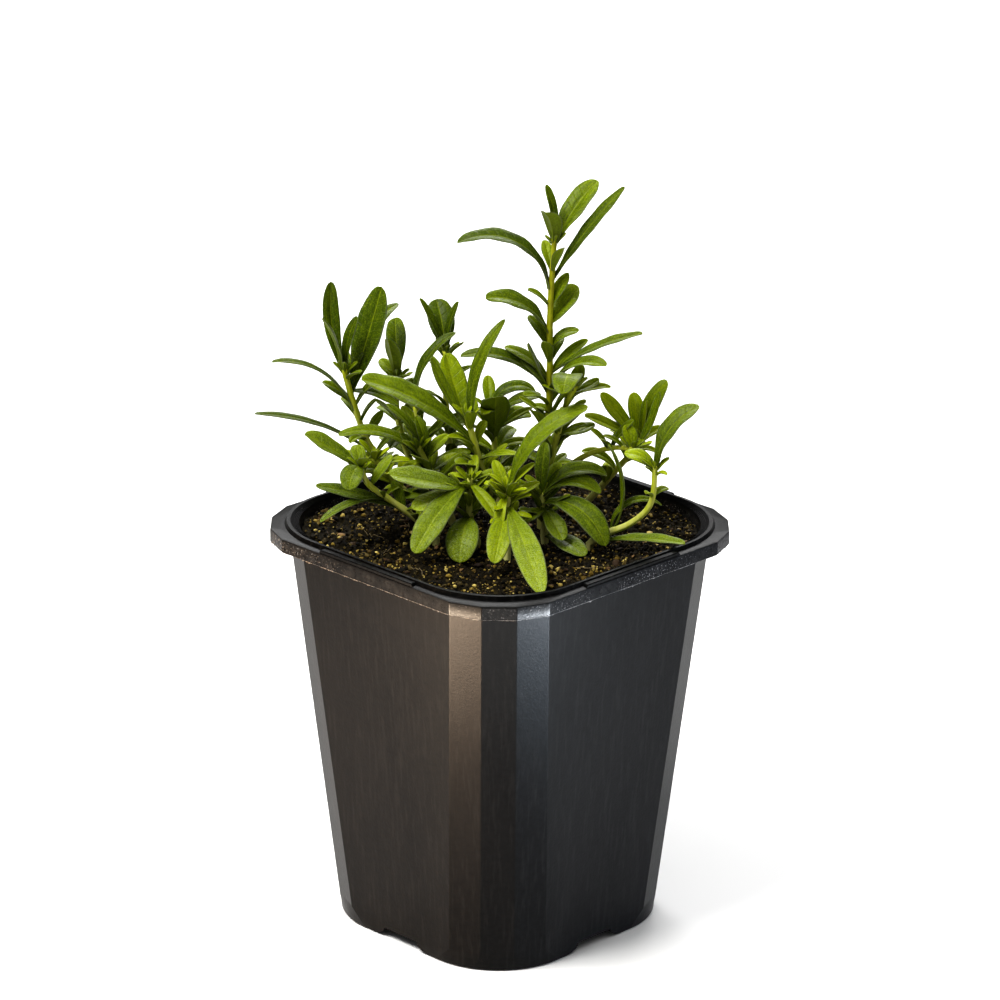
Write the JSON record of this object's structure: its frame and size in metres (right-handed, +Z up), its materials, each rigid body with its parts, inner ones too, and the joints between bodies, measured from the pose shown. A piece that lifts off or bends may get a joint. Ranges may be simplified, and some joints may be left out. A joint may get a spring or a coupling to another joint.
{
  "type": "potted hyssop",
  "caption": "Young hyssop plant with upright and spreading leafy stems, growing in the soil of a square tapered nursery pot.",
  "frame": {"origin": "on the surface that the pot stands on, under the middle of the pot", "axes": "+Z up along the pot's axis; X and Y square to the pot's flat sides; the corner between +X and -Y is the one that faces the camera in the picture"},
  "size_m": [0.1, 0.1, 0.2026],
  "materials": {
    "pot_plastic": "dark grey moulded polypropylene, slightly glossy, with paler worn edges",
    "potting_soil": "crumbly peat compost with bark bits, fibres and ochre grains",
    "leaf_green": "living green leaves and stems, softly glossy with fine short hairs"
  },
  "bodies": {
    "root": {"pot": "pot_plastic", "soil": "potting_soil", "stem_tall": "leaf_green", "stem_left": "leaf_green", "stem_left_back": "leaf_green", "stem_back": "leaf_green", "stem_back_short": "leaf_green", "stem_front_middle": "leaf_green", "stem_left_middle": "leaf_green", "stem_young": "leaf_green", "stem_low_left": "leaf_green", "stem_front_left": "leaf_green", "stem_rosette": "leaf_green", "stem_front_right": "leaf_green", "stem_middle_right": "leaf_green", "stem_right": "leaf_green", "stem_lax": "leaf_green", "stem_right_bent": "leaf_green", "stem_centre_back": "leaf_green"}
  },
  "joints": []
}
